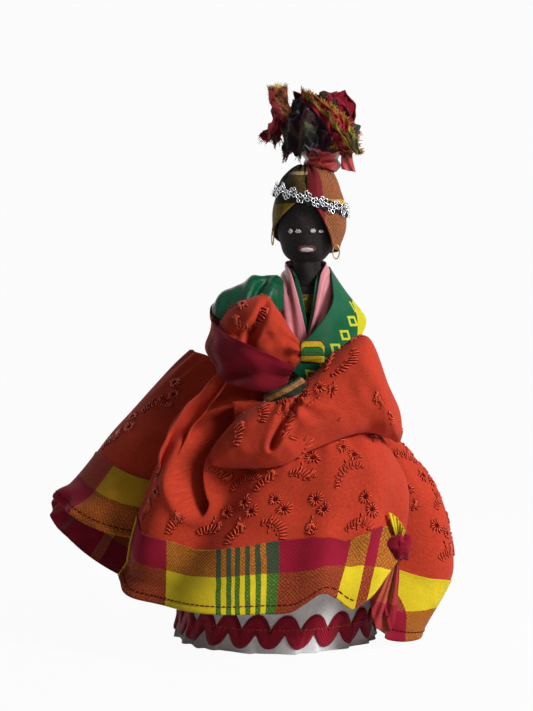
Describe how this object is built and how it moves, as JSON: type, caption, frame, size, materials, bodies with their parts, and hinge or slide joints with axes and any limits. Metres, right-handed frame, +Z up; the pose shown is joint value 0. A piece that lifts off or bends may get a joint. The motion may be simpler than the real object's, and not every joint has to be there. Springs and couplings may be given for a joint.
{
  "type": "cloth doll",
  "caption": "Standing cloth doll in Caribbean festive dress with a tied headwrap, full sleeves, ribbon sash, open gown with plaid borders and a petticoat; the head turns and nods.",
  "frame": {"origin": "centre of the base disc's underside, which stands on the table", "axes": "+Z up, -Y towards the side the doll faces, +X towards the doll's left"},
  "size_m": [0.1972, 0.1682, 0.2713],
  "materials": {
    "card": "matte",
    "wood": "matte",
    "white_cotton": "matte",
    "crimson_braid": "matte",
    "skin_cloth": "matte",
    "plaid_cloth": "matte",
    "orange_cloth": "matte",
    "silver_braid": "metallic thread",
    "white_thread": "matte",
    "gilt_wire": "polished",
    "red_satin": "satin",
    "green_satin": "satin",
    "pink_satin": "satin"
  },
  "bodies": {
    "body": {"base_disc": "card", "skirt_form": "card", "spine_dowel": "wood", "petticoat": "white_cotton", "ricrac_braid": "crimson_braid", "torso": "skin_cloth", "bodice": "plaid_cloth", "waistband": "orange_cloth", "edge_ribbon": "green_satin", "neck_ribbon": "pink_satin", "sash": "green_satin", "gown_front": "orange_cloth", "gown_front_border": "plaid_cloth", "gown_right": "orange_cloth", "gown_right_border": "plaid_cloth", "gown_back": "orange_cloth", "gown_back_border": "plaid_cloth", "gown_left": "orange_cloth", "gown_left_border": "plaid_cloth", "right_arm": "skin_cloth", "right_sleeve": "orange_cloth", "right_cuff": "plaid_cloth", "train_border": "plaid_cloth", "sash_puff": "green_satin", "left_arm": "skin_cloth", "left_sleeve": "orange_cloth", "left_cuff": "plaid_cloth"},
    "neck": {"neck": "skin_cloth"},
    "head": {"head": "skin_cloth", "headwrap_right": "plaid_cloth", "headwrap_left": "plaid_cloth", "silver_trim": "silver_braid", "right_eye_outer": "white_thread", "right_eye_inner": "white_thread", "left_eye_inner": "white_thread", "left_eye_outer": "white_thread", "mouth": "white_thread", "right_earring": "gilt_wire", "left_earring": "gilt_wire", "topknot_stem": "plaid_cloth", "topknot_ribbon": "red_satin", "topknot_ribbon_tail": "red_satin", "tuft_leaf_1": "plaid_cloth", "tuft_leaf_2": "plaid_cloth", "tuft_leaf_3": "plaid_cloth", "tuft_leaf_4": "plaid_cloth", "tuft_leaf_5": "plaid_cloth", "tuft_leaf_6": "plaid_cloth", "tuft_leaf_7": "plaid_cloth", "tuft_leaf_8": "plaid_cloth"}
  },
  "joints": [
    {"name": "head_nod", "type": "hinge", "parent": "body", "child": "neck", "pos_m": [0.0155, 0, 0.17135], "axis": [1, 0, 0], "range_deg": [-4, 6]},
    {"name": "head_turn", "type": "hinge", "parent": "neck", "child": "head", "pos_m": [0.0155, 0, 0.187], "axis": [0, 0, 1], "range_deg": [-25, 25]}
  ]
}
